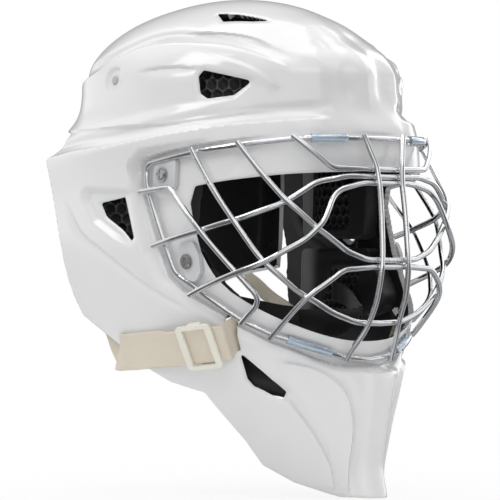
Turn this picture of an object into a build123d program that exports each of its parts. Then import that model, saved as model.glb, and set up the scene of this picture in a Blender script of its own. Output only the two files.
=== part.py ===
"""Goaltender's caged helmet: hard shell, floating back plate, welded wire cage, liner, straps.

Frame: millimetres, +Z up, the wearer faces -Y and the wearer's left is +X. The origin is the
middle of the head space. "Forward" below is -Y, so a point at forward f lies at y = -f. Angles
are in degrees round the head from the front, negative on the wearer's right.
"""

from build123d import *

import os
from math import acos, atan2, cos, degrees, hypot, radians, sin, tan

# ---------------------------------------------------------------- driving dimensions
WALL = 4.0  # shell wall
WIRE = 4.0  # cage wire diameter
AXIS_FORWARD = -12.0  # the shell's upright axis lies this far forward of the origin
DOME_Z = 100.0  # the dome starts here
DOME_HEIGHT = 75.5
SECTION_STEP = 10  # degrees between the points of a shell section

# Shell sections: level, half width, reach forward of the axis, reach behind it, and the
# corner powers of the front and of the back (2 is an ellipse, more is boxier)
SHELL_LEVELS = [
    (-176, 36, 137, 60, 1.80, 2.0),
    (-150, 60, 129, 70, 1.72, 2.0),
    (-120, 80, 132.5, 80, 1.68, 2.0),
    (-95, 92, 136, 90, 1.68, 2.2),
    (-75, 98, 136, 100, 1.75, 2.5),
    (-55, 100, 133, 112, 2.30, 3.0),
    (-25, 103, 132, 120, 2.45, 3.5),
    (10, 105, 133, 128, 2.45, 4.0),
    (50, 105, 132, 130, 2.30, 4.0),
    (70, 104.5, 133, 127, 2.20, 3.4),
    (82, 103.5, 131, 121, 2.10, 2.8),
    (91, 102, 126, 118, 2.05, 2.4),
    (100, 100.5, 123, 117.5, 2.0, 2.25),
    (109, 100, 121, 117, 2.0, 2.2),
    (121, 98, 120.5, 115, 2.0, 2.2),
    (133, 92.5, 112.7, 109, 2.0, 2.2),
    (145, 81.5, 93.5, 99, 2.0, 2.2),
    (157, 66, 76.7, 80.5, 2.0, 2.2),
    (163, 54.5, 62, 67, 2.0, 2.2),
    (169, 39.5, 48, 46, 2.0, 2.2),
    (173.5, 21, 30, 20, 2.0, 2.0),
    (175.5, 6, 9, 6, 2.0, 2.0),
]

# Levels the shell's surfaces are drawn through
SKIN_LEVELS = [-163, -150, -135, -120, -108, -98, -92, -87, -82, -75, -65, -55, -40, -25, -8]
SKIN_LEVELS += [10, 30, 50, 60, 70, 76, 82, 87, 91, 100, 109, 121, 133, 145, 157, 163, 169, 173.5]

# The side wing stands out of the head shape below a ridge that climbs towards the front
WING_FLARE = 12.0
FLARE_ANGLES = (20.0, 135.0)  # the flare grows between these angles from the front
RIDGE_BACK_Z, RIDGE_FRONT_Z = 54.0, 88.0
LEDGE = 21.0  # height over which the flare fades into the dome
FLARE_END_Z = -100.0

# Cage surface: level, reach of the front bars, half width, corner power
CAGE_LEVELS = [
    (-76, 115, 84, 2.1),
    (-52, 124, 98, 2.4),
    (-30, 132, 104, 2.7),
    (-10, 134.5, 107, 3.1),
    (20, 133, 108, 3.1),
    (55, 129, 107, 2.6),
    (80, 126, 105, 2.35),
]
MM_PER_DEGREE = 2.06  # developed width of one degree on the cage surface
WELD = 0.93  # centre spacing of two welded wires, in wire diameters
RIM_LIFT = -0.9  # the rim runs behind the other wires
RECESS_DROP = 7.4  # the recess floor lies this far inside the cage surface
SLEEVE_OUTER, SLEEVE_INNER = 3.0, 2.05


# ---------------------------------------------------------------- surface laws
def between(level, rows):
    """The rows' values at a level, by monotone cubic pieces."""
    if level <= rows[0][0]:
        return list(rows[0][1:])
    if level >= rows[-1][0]:
        return list(rows[-1][1:])
    last = len(rows) - 1
    i = max(k for k in range(last) if rows[k][0] <= level)
    span = rows[i + 1][0] - rows[i][0]
    t = (level - rows[i][0]) / span
    found = []
    for c in range(1, len(rows[0])):
        step = [(rows[k + 1][c] - rows[k][c]) / (rows[k + 1][0] - rows[k][0]) for k in range(last)]

        def slope(k):
            if k in (0, last):
                return step[min(k, last - 1)]
            a, b = step[k - 1], step[k]
            return 0.0 if a * b <= 0 else 2 * a * b / (a + b)

        rise = (3 * t**2 - 2 * t**3) * (rows[i + 1][c] - rows[i][c])
        lead = slope(i) * span * (t**3 - 2 * t**2 + t) + slope(i + 1) * span * (t**3 - t**2)
        found.append(rows[i][c] + rise + lead)
    return found


def ease(t):
    t = min(1.0, max(0.0, t))
    return t * t * (3 - 2 * t)


def corner_radius(angle, half_width, reach, power):
    """Polar radius of a superellipse, the angle measured from its reach axis."""
    s, c = abs(sin(radians(angle))), abs(cos(radians(angle)))
    return ((s / half_width) ** power + (c / reach) ** power) ** (-1 / power)


def flare(angle, z):
    """How far the wing stands out of the head shape."""
    ridge = RIDGE_BACK_Z + (RIDGE_FRONT_Z - RIDGE_BACK_Z) * (0.5 + 0.5 * cos(radians(angle)))
    grow = ease((abs(angle) - FLARE_ANGLES[0]) / (FLARE_ANGLES[1] - FLARE_ANGLES[0]))
    below = ease((ridge + LEDGE - z) / LEDGE)
    lower = ease((z - FLARE_END_Z) / 100.0)
    return WING_FLARE * grow * below * lower


def cage_reach(angle, z, drop):
    """Distance from the shell's axis to the cage surface dropped inwards."""
    reach, half_width, power = between(z, CAGE_LEVELS)
    near, far = 10.0, 200.0
    for _ in range(30):
        r = 0.5 * (near + far)
        x, f = r * sin(radians(angle)), r * cos(radians(angle)) + AXIS_FORWARD
        inside = (abs(x) / (half_width - drop)) ** power
        if f > 0:
            inside += (f / (reach - drop)) ** power
        near, far = (r, far) if inside < 1 else (near, r)
    return near


def shell_radius(angle, z, inset=0.0):
    """Distance of the shell's surface from its axis, inset inwards."""
    angle = (angle + 180) % 360 - 180
    if z > DOME_Z:
        z = DOME_Z + (z - DOME_Z) * DOME_HEIGHT / (DOME_HEIGHT - inset)
    half_width, front, back, front_power, back_power = between(z, SHELL_LEVELS)
    if abs(angle) <= 90:
        r = corner_radius(angle, half_width, front, front_power)
    else:
        r = corner_radius(angle, half_width, back, back_power)
    r = max(2.0, r + flare(angle, z) - inset)
    if inset > 0 and -94 < z < 94:
        blend = ease((114 - abs(angle)) / 26) * ease((94 - z) / 14) * ease((z + 94) / 14)
        r -= blend * max(0.0, r - (cage_reach(angle, z, RECESS_DROP) - inset))
    return r


def cage_point(angle, z, lift=0.0):
    """A point of the cage surface, lifted outwards by so many wire diameters."""
    reach, half_width, power = between(z, CAGE_LEVELS)
    out = lift * WIRE
    if abs(angle) > 90:
        f = (half_width + out) * cos(radians(angle)) / abs(sin(radians(angle)))
        return Vector((half_width + out) * (1 if angle > 0 else -1), -f, z)
    r = corner_radius(angle, half_width + out, reach + out, power)
    return Vector(r * sin(radians(angle)), -r * cos(radians(angle)), z)


def half_ring(radius, z):
    """Closed face of the wearer's right half, from a law giving the radius at each angle."""
    points = []
    for angle in range(-180, 1, SECTION_STEP):
        r = radius(angle)
        points.append((r * sin(radians(angle)), -r * cos(radians(angle)) - AXIS_FORWARD, z))
    count = len(points) - 1
    even = [k / count for k in range(count + 1)]
    curve = Edge.make_spline(points, tangents=[(-1, 0, 0), (1, 0, 0)], parameters=even)
    return make_face([curve, Line(curve @ 1, curve @ 0)])


def skin(inset, bottom, top, ruled=False):
    """Right half of the solid inside the shell's surface moved inwards by the inset."""
    shrink = (DOME_HEIGHT - inset) / DOME_HEIGHT
    levels = [z if z <= DOME_Z else DOME_Z + (z - DOME_Z) * shrink for z in SKIN_LEVELS]
    levels = [z for z in levels if bottom + 2 < z < top - 1]
    rings = []
    for z in [bottom] + levels + [top]:
        rings.append(half_ring(lambda angle: shell_radius(angle, z, inset), z))
    return loft(rings, ruled=ruled)


def rounded_face(corners, radius):
    """Flat face with an outline of (x, y) corners, each rounded as far as its sides allow."""
    edges = []
    count = len(corners)
    ends = []
    for i, here in enumerate(corners):
        before, after = corners[i - 1], corners[(i + 1) % count]
        a = (before[0] - here[0], before[1] - here[1])
        b = (after[0] - here[0], after[1] - here[1])
        la, lb = hypot(*a), hypot(*b)
        cosine = (a[0] * b[0] + a[1] * b[1]) / (la * lb)
        half = 0.5 * acos(max(-1.0, min(1.0, cosine)))
        reach = min(radius / tan(half), 0.45 * la, 0.45 * lb) if half < 1.55 else 0.0
        start = (here[0] + a[0] / la * reach, here[1] + a[1] / la * reach)
        end = (here[0] + b[0] / lb * reach, here[1] + b[1] / lb * reach)
        if reach > 0.05:
            r = reach * tan(half)
            out = r / sin(half) - r
            towards = ((a[0] / la + b[0] / lb), (a[1] / la + b[1] / lb))
            size = hypot(*towards)
            middle = (here[0] + towards[0] / size * out, here[1] + towards[1] / size * out)
            edges.append(ThreePointArc(start, middle, end))
            ends.append((start, end))
        else:
            ends.append((here, here))
    for i in range(count):
        edges.append(Line(ends[i][1], ends[(i + 1) % count][0]))
    return make_face(edges)


def side_cutter(points, radius, low=-200.0, high=200.0):
    """Prism along x with a rounded outline drawn from the side as (forward, z)."""
    face = rounded_face([(-f, z) for f, z in points], radius)
    return extrude(Plane.YZ.offset(low) * face, high - low)


def seat(angle, z, inset=0.0):
    """Plane on the shell's surface: x along the surface, y up, z outwards."""
    def at(a, level):
        r = shell_radius(a, level, inset)
        return Vector(r * sin(radians(a)), -r * cos(radians(a)) - AXIS_FORWARD, level)

    along = (at(angle + 1.0, z) - at(angle - 1.0, z)).normalized()
    up = (at(angle, z + 1.0) - at(angle, z - 1.0)).normalized()
    return Plane(origin=at(angle, z), x_dir=along, z_dir=along.cross(up))


def window(outline, radius):
    """Cutter through the wall for an outline of (angle, z) corners."""
    middle = [sum(p[k] for p in outline) / len(outline) for k in (0, 1)]
    base = seat(*middle)
    corners = []
    for angle, z in outline:
        local = base.to_local_coords(seat(angle, z).origin)
        corners.append((local.X, local.Y))
    return extrude(base.offset(-22) * rounded_face(corners, radius), 34)


def both(thing):
    """The thing and its mirror image on the wearer's other side."""
    return [thing, mirror(thing, Plane.YZ)]


# ---------------------------------------------------------------- outlines drawn from the side
# Face port, as (forward, z)
PORT = [
    (220, 52), (120, 52), (97, 49.7), (73, 46.5), (42, 42), (38.5, 30), (43, 13), (48, -3),
    (58.5, -20), (68, -30), (84, -42), (99, -53), (111, -63), (116, -66), (220, -66),
]
# Recess round the port that the cage sits in
RECESS = [
    (220, 81), (109, 81), (55, 73.5), (2, 67), (-9, 58), (-8, 38), (4, -4), (15, -24),
    (34, -36), (70, -59.5), (86, -69.5), (98, -76), (111, -84.5), (220, -84.5),
]
# Everything behind and below the shell's edge
BEHIND = [
    (-220, 83), (-90, 83), (-79, 80), (-84, 72), (-92.3, 65), (-94.5, 61), (-90.6, 51),
    (-84.8, 29), (-77, -2), (-74.5, -20), (-70, -36), (-65, -47), (-39, -62.5), (-5, -84),
    (10, -92), (34, -99), (51.4, -131.6), (57, -149), (74.5, -160.5), (103, -170),
    (220, -173), (220, -220), (-220, -220),
]
# Fixings on the wearer's right, as (angle, z): cage clips on the cage surface, strap rivet
# on the shell
UPPER_CLIP = (-82.0, 50.5)
LOWER_CLIP = (-70.0, -9.5)
RIVET = (-105.0, 116.5)
# Vents, as (angle, z) on the wearer's right
CROWN_VENT = [(-61, 161.5), (-46, 161), (-33, 158), (-38.5, 155.5), (-54.5, 155.5)]
UPPER_VENT = [(-61.5, 117), (-59.5, 121), (-40.5, 113), (-47.5, 103.5), (-57.5, 101.5), (-60.5, 105)]
EAR_VENT = [(-103, 31), (-91.5, 35), (-86.5, 7), (-88, 5), (-93, 12.5), (-100.5, 21.5)]
JAW_VENT = [(-45.5, -71), (-36.8, -84.5), (-28.8, -98), (-29.5, -102.5), (-40, -94), (-42.5, -89)]
STRAP_SLOT = [(-50.4, -45.5), (-47.0, -45.5), (-43.9, -74.5), (-46.8, -75.5)]


# ---------------------------------------------------------------- shell
def recess_floor():
    """Right half of the solid under the recess floor, clear of the shell behind the recess."""
    rings = []
    for z in (-90, -76, -60, -45, -30, -10, 10, 30, 45, 55, 68, 84):
        def radius(angle):
            if abs(angle) <= 104:
                return cage_reach(angle, z, RECESS_DROP)
            return min(130.0, 98 / max(0.2, sin(radians(min(abs(angle), 150)))))
        rings.append(half_ring(radius, z))
    return loft(rings)


def whole(half):
    """The right half joined to its mirror image."""
    return half + mirror(half, Plane.YZ)


def make_shell():
    recess = side_cutter(RECESS, 5.0, high=1.0) - recess_floor()
    cutters = [recess, side_cutter(BEHIND, 2.0, high=1.0), side_cutter(PORT, 2.5, high=1.0)]
    cutters += [window(STRAP_SLOT, 0.8)]
    for outline, radius in ((CROWN_VENT, 1.2), (UPPER_VENT, 2.0), (EAR_VENT, 1.2), (JAW_VENT, 1.5)):
        cutters += [window(outline, radius)]
    for middle in (UPPER_CLIP, LOWER_CLIP):
        cutters += [extrude(cage_seat(*middle, 0) * Circle(2.3), 30, both=True)]
    cutters += [extrude(seat(*RIVET) * Circle(1.8), 12, both=True)]
    body = skin(0, -176, 175.5) - skin(WALL, -176, 175.5 - WALL)
    for cutter in cutters:
        body -= cutter
    return whole(body)


# ---------------------------------------------------------------- wire cage
def cage_seat(angle, z, lift=0.0):
    """Plane on the cage surface: x along the surface, y up, z outwards."""
    along = (cage_point(angle + 1, z, lift) - cage_point(angle - 1, z, lift)).normalized()
    up = (cage_point(angle, z + 1, lift) - cage_point(angle, z - 1, lift)).normalized()
    return Plane(origin=cage_point(angle, z, lift), x_dir=along, z_dir=along.cross(up))


def wire_points(route, spacing=5.0):
    """Even steps along a route of (angle, z, bend radius, lift), on the cage surface."""
    flat = [(p[0] * MM_PER_DEGREE, p[1], p[3]) for p in route]
    trail = [flat[0]]
    for i in range(1, len(flat) - 1):
        before, here, after = flat[i - 1], flat[i], flat[i + 1]
        a = (before[0] - here[0], before[1] - here[1])
        b = (after[0] - here[0], after[1] - here[1])
        la, lb = hypot(*a), hypot(*b)
        cosine = (a[0] * b[0] + a[1] * b[1]) / (la * lb)
        half = 0.5 * acos(max(-1.0, min(1.0, cosine)))
        reach = min(max(4.0, route[i][2] / tan(half)), 0.48 * la, 0.48 * lb)
        start = [h + (q - h) * reach / la for h, q in zip(here, before)]
        end = [h + (q - h) * reach / lb for h, q in zip(here, after)]
        for k in range(13):
            t = k / 12
            blend = zip(start, here, end)
            trail.append([(1 - t) ** 2 * p + 2 * t * (1 - t) * q + t * t * r for p, q, r in blend])
    trail.append(flat[-1])
    length = [0.0]
    for p, q in zip(trail, trail[1:]):
        length.append(length[-1] + hypot(q[0] - p[0], q[1] - p[1]))
    count = round(length[-1] / spacing)
    points = []
    j = 0
    for k in range(count + 1):
        goal = length[-1] * k / count
        while j < len(trail) - 2 and length[j + 1] < goal:
            j += 1
        t = (goal - length[j]) / max(1e-9, length[j + 1] - length[j])
        u, v, lift = [p + t * (q - p) for p, q in zip(trail[j], trail[j + 1])]
        points.append(cage_point(u / MM_PER_DEGREE, v, lift))
    return points


def opposite(point):
    return Vector(-point.X, point.Y, point.Z)


def tube(path, outer, inner=0.0):
    """Rod or sleeve along a path, in lengths short enough to sweep cleanly."""
    body = None
    for start, end in ((0, 0.33), (0.33, 0.42), (0.42, 0.6), (0.6, 1.0)):
        part = path.trim(start, end)
        profile = Circle(outer) if not inner else Circle(outer) - Circle(inner)
        plane = Plane(origin=part @ 0, z_dir=part % 0)
        piece = sweep(plane * profile, path=part, is_frenet=True)
        body = piece if body is None else body + piece
    return body


def across_front(points, radius, both_ends=False):
    """A rod whose route stops at the middle of the front, joined to its mirror image."""
    more = points + [opposite(p) for p in points[-2:-5:-1]]
    if both_ends:
        more = [opposite(p) for p in points[3:0:-1]] + more
    half = tube(Spline(more), radius) & right_half()
    return whole(half)


def right_half():
    return Box(400, 800, 800, align=(Align.MAX, Align.CENTER, Align.CENTER))


ON = RIM_LIFT + WELD  # lift of a wire welded on to the rim
UP, DOWN = 0.5 * WELD, -0.5 * WELD  # the upper and the lower wire of a crossing

# Routes on the wearer's right as (angle, z, bend radius, lift in wire diameters)
RIM_ROUTE = [
    (0, 74.4, 0), (-30.6, 74, 80), (-61.5, 66.6, 80), (-90.2, 57.5, 11), (-89.9, 43.5, 40),
    (-78.3, -4.8, 50), (-75, -17.5, 14), (-67.5, -25.5, 25), (-48.9, -49.3, 100),
    (-38.5, -58.7, 60), (-29.3, -64.2, 60), (-10.8, -74.8, 60), (0, -76.6, 0),
]
RIM_ROUTE = [point + (RIM_LIFT,) for point in RIM_ROUTE]
# Wires that run on across the front to the other side
ACROSS = {
    "cage_wire_cheek": [
        (-67.2, 67.5, 0, ON), (-63.9, 57.5, 60, ON), (-51.2, 19.6, 90, UP),
        (-42.6, -8.8, 90, DOWN), (-32.3, -28.8, 60, DOWN), (-19.8, -44.3, 60, DOWN),
        (-10.5, -50.8, 40, DOWN), (0, -51.4, 40, DOWN)],
    "cage_wire_mid": [
        (-50.3, 71.5, 0, ON), (-46.8, 62.0, 60, ON), (-36.2, 32.4, 90, UP),
        (-27.2, 13.9, 60, DOWN), (-17.5, -2.4, 22, DOWN), (-10.5, -8.0, 22, DOWN),
        (0, -8.6, 30, DOWN)],
    "cage_wire_brow": [
        (-33.0, 76.0, 0, ON), (-29.1, 69.0, 60, ON), (-20.8, 54.0, 11, DOWN),
        (0, 53.4, 60, DOWN)],
    "cage_wire_eye": [
        (-84.6, 1.4, 0, ON), (-76.0, 5.6, 90, ON), (-63.0, 11.9, 60, DOWN),
        (-48.8, 20.2, 90, DOWN), (-36.4, 30.2, 40, DOWN), (-26.5, 44.4, 25, DOWN),
        (-15.5, 48.6, 40, DOWN), (0, 48.2, 60, DOWN)],
    "cage_wire_brace": [
        (-68.5, -32.0, 0, ON), (-62.0, -26.5, 60, ON), (-50.3, -16.6, 60, UP),
        (-42.4, -9.8, 90, UP), (-31.0, 5.6, 40, UP), (-25.6, 17.5, 25, UP),
        (-21.2, 38.5, 18, 0.0), (-10.5, 44.0, 25, DOWN), (0, 43.9, 60, DOWN)],
    "cage_wire_chin": [
        (-39.3, -61.0, 0, ON), (-36.2, -52.5, 60, ON), (-29.3, -32.2, 60, UP),
        (-18.6, -14.6, 14, DOWN), (-7.4, -12.9, 40, DOWN), (0, -13.0, 60, DOWN)],
}
# Wires with a twin on the other side
TWINS = {
    "cage_wire_temple": [
        (-91.5, 38.6, 0, ON), (-76.0, 41.5, 11, ON), (-62.8, 12.6, 80, UP),
        (-50.3, -16.7, 60, DOWN), (-42.6, -35.5, 9, ON), (-49.3, -51.0, 0, ON)],
    "cage_bar": [
        (-9.0, 77.0, 0, ON), (-7.9, 70.5, 40, ON), (-5.6, 56.0, 40, UP), (-4.9, 44.0, 60, UP),
        (-5.3, -2.7, 80, UP), (-6.3, -44.8, 60, UP), (-7.2, -55.0, 40, UP),
        (-10.6, -71.0, 40, ON), (-11.4, -77.0, 0, ON)],
}


def make_cage():
    made = {"cage_rim": across_front(wire_points(RIM_ROUTE), WIRE / 2, both_ends=True)}
    for name, route in ACROSS.items():
        made[name] = across_front(wire_points(route), WIRE / 2)
    for name, route in TWINS.items():
        rod = tube(Spline(wire_points(route)), WIRE / 2)
        made[name + "_right"], made[name + "_left"] = both(rod)
    for name, start, stop in (("top", -28.5, -12.5), ("bottom", -34.0, -15.0)):
        at = [p for p in wire_points(RIM_ROUTE) if (p.Z > 0) == (name == "top")]
        at = [p for p in at if start <= degrees(atan2(p.X, -p.Y)) <= stop]
        sleeve = tube(Spline(at), SLEEVE_OUTER, SLEEVE_INNER)
        made["sleeve_" + name + "_right"], made["sleeve_" + name + "_left"] = both(sleeve)
    return made


# ---------------------------------------------------------------- cage clips and fixings
CLIP_GAP = 0.35  # clip plate over the recess floor
CLIP_THICK = 3.2


def make_fixings():
    made = {}
    rim_tube = across_front(wire_points(RIM_ROUTE), WIRE / 2 + 0.12, both_ends=True)
    shapes = {
        "upper": (UPPER_CLIP, [(-8.5, -9.5), (12, -12), (13, 11), (-3, 10.5), (-8.5, 5)]),
        "lower": (LOWER_CLIP, [(-7.5, 13.5), (6, 13.5), (11, 5), (12, -7), (7, -14), (-2, -12)]),
    }
    screws, nuts = [], []
    for name, (middle, outline) in shapes.items():
        base = cage_seat(*middle)
        low = -RECESS_DROP + CLIP_GAP
        plate = extrude(base.offset(low) * rounded_face(outline, 4.0), CLIP_THICK)
        plate -= extrude(base.offset(low - 1) * Circle(2.2), CLIP_THICK + 2)
        plate -= rim_tube
        plate = plate.solids().sort_by(SortBy.VOLUME)[-1]
        made["cage_clip_" + name + "_right"], made["cage_clip_" + name + "_left"] = both(plate)
        top = low + CLIP_THICK
        head = base.offset(top) * extrude(Circle(5.2), 1.2)
        head += base.offset(top + 1.2) * extrude(Circle(4.2), 1.6, taper=25)
        slot = base.offset(top + 1.7) * extrude(Rectangle(6.4, 1.2) + Rectangle(1.2, 6.4), 3)
        shank = base.offset(top - 15) * extrude(Circle(2.0), 15.2)
        screws += both(head + shank - slot)
        inner = top - CLIP_THICK - CLIP_GAP - WALL - 0.9
        flange = base.offset(inner - 1.4) * extrude(Circle(6.5) - Circle(2.0), 1.4)
        flange += base.offset(inner - 5.4) * extrude(Circle(3.6) - Circle(2.0), 4.2)
        nuts += both(flange)
    made["cage_screws"] = Compound(children=[Solid(s.solids()[0].wrapped) for s in screws])
    made["cage_nuts"] = Compound(children=[Solid(s.solids()[0].wrapped) for s in nuts])
    spot = seat(*RIVET)
    rivet = spot.offset(0.1) * extrude(Circle(3.4), 1.2, taper=30)
    rivet += spot.offset(-WALL - 4.0) * extrude(Circle(1.6), WALL + 4.2)
    rivet += spot.offset(-WALL - 5.4) * extrude(Circle(3.4), 1.4)
    made["strap_rivets"] = Compound(children=[Solid(s.solids()[0].wrapped) for s in both(rivet)])
    return made


# ---------------------------------------------------------------- liner
LINER_GAP = 0.5  # foam stands off the wall by this much, filled by its glue pads


def liner(thickness, bottom, top, gap=LINER_GAP):
    """Right half of a foam layer on the inside of the wall."""
    outer = skin(WALL + gap, bottom, top, ruled=True)
    return outer - skin(WALL + gap + thickness, bottom - 1, top + 1 if top < 150 else top - 9, True)


def front_cutter(points, radius):
    """Prism along y through the front half with an outline drawn from the front as (x, z)."""
    return extrude(Plane.XZ * rounded_face(points, radius), 200)


def make_liner():
    made = {}
    brow = liner(13.0, 55.0, 98.0) & front_cutter(
        [(-74, 62), (-30, 58), (12, 57), (12, 96), (-60, 96), (-72, 88)], 6.0)
    made["brow_pad"] = whole(brow & right_half())
    dome = liner(13.0, 99.0, 175.5 - WALL - 1.5, 1.5)
    dome -= side_cutter([(-200, 90), (10, 90), (6, 106), (-50, 141), (-200, 155)], 6.0, high=1.0)
    made["crown_pad"] = whole(dome)
    temple = liner(15.0, 4.0, 94.0) & side_cutter(
        [(-44, 8), (30, 6), (33, 40), (34, 54), (46, 60), (46, 90), (-28, 92), (-44, 70)], 6.0,
        high=-30.0)
    cheek = liner(17.0, -70.0, 2.0) & side_cutter(
        [(-44, 0), (34, 0), (44, -16), (60, -34), (58, -44), (0, -62), (-36, -46)], 6.0, high=-30.0)
    for middle in (UPPER_CLIP, LOWER_CLIP):
        # room for the clip's nut and screw
        pocket = extrude(cage_seat(*middle).offset(-RECESS_DROP - 18) * Circle(7.4), 18)
        temple, cheek = temple - pocket, cheek - pocket
    made["temple_pad_right"], made["temple_pad_left"] = both(temple)
    made["cheek_pad_right"], made["cheek_pad_left"] = both(cheek)
    chin = liner(7.0, -112.0, -68.5, 1.6) & front_cutter(
        [(-72, -71), (-20, -71), (12, -71), (12, -104), (-34, -106), (-62, -98)], 5.0)
    made["chin_pad"] = whole(chin & right_half())
    return made


# ---------------------------------------------------------------- back plate
# Plate sections: level, half width, reach behind the shell's axis, corner power
PLATE_LEVELS = [
    (-46, 78, 96, 2.2),
    (-20, 86, 107, 2.3),
    (15, 90, 112, 2.3),
    (50, 91, 114, 2.3),
    (80, 90, 112.5, 2.3),
    (112, 87, 107.5, 2.2),
]
PLATE_WALL = 3.0


def plate_half(inset, bottom, top):
    """Right half of the solid inside the plate's surface, moved inwards."""
    rings = []
    for z in [bottom, -34, -20, 0, 15, 35, 50, 68, 80, 96, top]:
        half_width, back, power = between(z, PLATE_LEVELS)

        def radius(angle):
            if abs(angle) < 90:
                return corner_radius(angle, half_width - inset, 80, 2.0)
            return corner_radius(angle, half_width - inset, back - inset, power)
        rings.append(half_ring(radius, z))
    return loft(rings)


def make_back():
    outline = [(14, 108), (-54, 108), (-74, 92), (-88, 62), (-92, 20), (-88, -12), (-66, -22),
               (-40, -38), (14, -42)]
    keep = extrude(Plane.XZ.offset(-200) * rounded_face(outline, 14.0), 200 - 54)
    keep &= right_half()
    plate = (plate_half(0, -46, 110) - plate_half(PLATE_WALL, -47, 111)) & keep
    inner = [(14, 100), (-50, 100), (-68, 86), (-80, 58), (-83, 20), (-80, -6), (-60, -15),
             (-36, -30), (14, -34)]
    keep = extrude(Plane.XZ.offset(-200) * rounded_face(inner, 12.0), 200 - 60)
    keep &= right_half()
    pad = (plate_half(PLATE_WALL + 0.2, -46, 110) - plate_half(PLATE_WALL + 13, -47, 111)) & keep
    return {"back_plate": whole(plate), "back_pad": whole(pad)}


# ---------------------------------------------------------------- straps
STRAP_WIDTH, STRAP_THICK = 26.0, 1.6
BUCKLE_LENGTH, BUCKLE_WIDTH = 27.0, 33.0


def ribbon(stations, width, thick):
    """Band through stations of (centre, direction across, outward direction)."""
    rings = []
    for centre, across, out in stations:
        along = across.cross(out).normalized()
        plane = Plane(origin=centre, x_dir=across.normalized(), z_dir=along)
        rings.append(plane * Rectangle(width, thick))
    return loft(rings, ruled=True)


def strap_station(angle, z, off, turn=0.0):
    """Station on the outside of the shell, the band across its path."""
    base = seat(angle, z)
    across = (base.y_dir + base.x_dir * turn).normalized()
    return (base.origin + base.z_dir * off, across, base.z_dir)


def buckle_base():
    """Plane of the straight stretch of strap that the buckle sits on, x along the strap."""
    front, rear = strap_station(-52.0, -62.2, 5.4)[0], strap_station(-66.0, -65.9, 5.4)[0]
    along = (front - rear).normalized()
    out = seat(-59, -64).z_dir
    out = (out - along * out.dot(along)).normalized()
    return Plane(origin=(front + rear) * 0.5, x_dir=along, z_dir=out)


def make_straps():
    made = {}
    base = buckle_base()
    # from the slot in the cheek, straight through the buckle, then back along the wall
    outside = [strap_station(a, z, off, turn) for a, z, off, turn in (
        (-46.6, -60.3, -9.0, -0.1), (-47.6, -60.5, -4.0, -0.1), (-48.6, -60.9, 0.6, -0.1))]
    for x in (20.0, 10.0, -10.0, -22.0):
        outside.append((base.origin + base.x_dir * x, base.y_dir, base.z_dir))
    outside += [strap_station(a, z, off, turn) for a, z, off, turn in (
        (-77, -68.4, 2.6, -0.08), (-83, -69.6, 2.3, -0.05), (-90, -70.8, 2.4, 0.0),
        (-97, -71.4, 3.2, 0.05))]
    edge = outside[-1][0]
    # round the lower rear edge and up inside to the back plate
    inside = [
        (Vector(edge.X + 3.0, edge.Y + 6.5, edge.Z + 0.5), Vector(0.2, -0.1, 1.0), Vector(-0.6, 0.8, 0)),
        (Vector(edge.X + 8.0, edge.Y + 9.0, edge.Z + 3.0), Vector(0.15, -0.2, 1.0), Vector(0.0, 1.0, 0)),
        (Vector(edge.X + 11.0, edge.Y + 15.0, edge.Z + 8), Vector(0.0, -0.45, 1.0), Vector(-1, 0, 0)),
        (Vector(-90.5, 62, -45), Vector(0.0, 0.45, 1.0), Vector(-1, 0.2, 0)),
        (Vector(-88.5, 76, -33), Vector(0.1, 0.55, 1.0), Vector(-0.95, 0.4, 0)),
        (Vector(-81.5, 90, -22), Vector(0.2, 0.6, 1.0), Vector(-0.8, 0.65, 0)),
    ]
    stations = outside
    for centre, across, out in inside:
        across = across.normalized()
        out = (out - across * out.dot(across)).normalized()
        stations = stations + [(centre, across, out)]
    band = ribbon(stations, STRAP_WIDTH, STRAP_THICK)
    made["jaw_strap_right"], made["jaw_strap_left"] = both(band)
    frame = RectangleRounded(BUCKLE_LENGTH, BUCKLE_WIDTH, 3.0)
    frame -= RectangleRounded(BUCKLE_LENGTH - 9.0, BUCKLE_WIDTH - 5.6, 1.0)
    ring = base.offset(1.3) * extrude(frame, 2.2)
    for side in (-1, 1):
        spot = base.offset(-2.9) * Pos(0, side * (BUCKLE_WIDTH / 2 - 1.4), 0)
        ring += spot * extrude(RectangleRounded(10, 2.6, 0.8), 4.6)
    ring += base.offset(-2.9) * extrude(Rectangle(5, BUCKLE_WIDTH - 1.2), 1.5)
    made["buckle_right"], made["buckle_left"] = both(ring)
    # elastic from the rivet back to the plate
    spot = seat(*RIVET)
    start = spot.origin - spot.z_dir * (WALL + 2.4)
    across = Vector(0, -0.35, 1).normalized()
    hole = extrude(spot * Circle(1.9), 12, both=True)
    stay = ribbon([
        (start + Vector(0, -8, 3), across, spot.z_dir),
        (start + Vector(0.6, 10, -4), across, spot.z_dir),
        (Vector(-82.5, 72, 96), across, Vector(-0.9, 0.45, 0.15).normalized()),
        (Vector(-77.0, 84, 90), across, Vector(-0.8, 0.6, 0.2).normalized()),
    ], 15.0, 1.4) - hole
    made["crown_strap_right"], made["crown_strap_left"] = both(stay)
    return made


# ---------------------------------------------------------------- chin cup
CHIN_CENTRE = (0, -54, -36)


def bowl(across, deep, tall):
    return Pos(*CHIN_CENTRE) * scale(Sphere(1.0), (across, deep, tall))


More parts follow.
